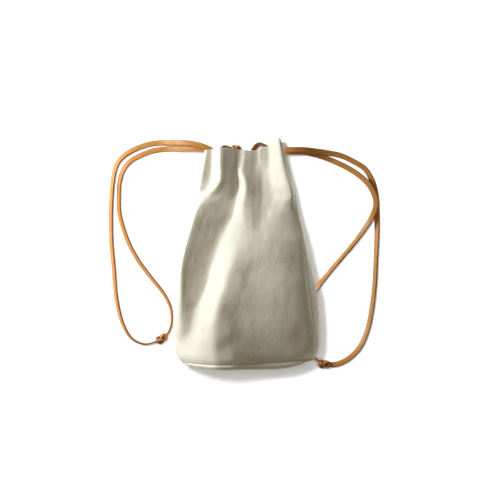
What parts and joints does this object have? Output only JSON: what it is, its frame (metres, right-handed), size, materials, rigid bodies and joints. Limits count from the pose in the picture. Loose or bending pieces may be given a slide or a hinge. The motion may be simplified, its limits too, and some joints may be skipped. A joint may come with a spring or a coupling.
{
  "type": "leather drawstring backpack",
  "caption": "Soft leather drawstring bucket backpack that lies on its back, with shoulder loops of flat leather lace joined by woven knots.",
  "frame": {"origin": "centre of the bag's footprint, on the surface that it lies on; the free laces and their knots aren't counted", "axes": "+Y from the base to the mouth, +Z from the back to the front, +X to the right as seen from above"},
  "size_m": [0.4776, 0.4045, 0.1062],
  "materials": {
    "bag_leather": "soft full-grain cream leather, satin, fine pebble grain, rounded folds",
    "leather_inside": "matte flesh side of the same leather",
    "lace": "natural vegetable-tanned lace, smooth burnished face, darker cut edges",
    "lace_knot": "woven natural lace, glossy on its crowns and dark between its strands",
    "board": "matte grey leatherboard",
    "thread": "waxed off-white thread"
  },
  "bodies": {
    "root": {"back_panel": "bag_leather", "base_panel": "bag_leather", "base_board": "board", "base_welt": "leather_inside", "back_rim_facing": "leather_inside", "left_seam_tape": "leather_inside", "right_seam_tape": "leather_inside", "back_neck_lace": "lace", "mouth_lace_left": "lace", "mouth_lace_right": "lace", "mouth_knot": "lace_knot", "base_stitches": "thread", "left_seam_stitches": "thread", "right_seam_stitches": "thread", "back_facing_stitches": "thread"},
    "front": {"front_panel": "bag_leather", "front_rim_facing": "leather_inside", "front_neck_lace": "lace", "front_facing_stitches": "thread"},
    "left_strap": {"left_outer_strand": "lace", "left_inner_strand": "lace", "left_knot": "lace_knot"},
    "right_strap": {"right_outer_strand": "lace", "right_inner_strand": "lace", "right_knot": "lace_knot"}
  },
  "joints": [
    {"name": "mouth_open", "type": "hinge", "parent": "root", "child": "front", "pos_m": [0, -0.1895, 0.0945], "axis": [1, 0, 0], "range_deg": [0, 12]},
    {"name": "left_strap_draw", "type": "slide", "parent": "root", "child": "left_strap", "axis": [1, 0, 0], "range_m": [0, 0.012]},
    {"name": "right_strap_draw", "type": "slide", "parent": "root", "child": "right_strap", "axis": [-1, 0, 0], "range_m": [0, 0.012]}
  ],
  "couplings": [
    {"joint": "left_strap_draw", "follows": "mouth_open", "m_per_rad": 0.055},
    {"joint": "right_strap_draw", "follows": "mouth_open", "m_per_rad": 0.055}
  ]
}
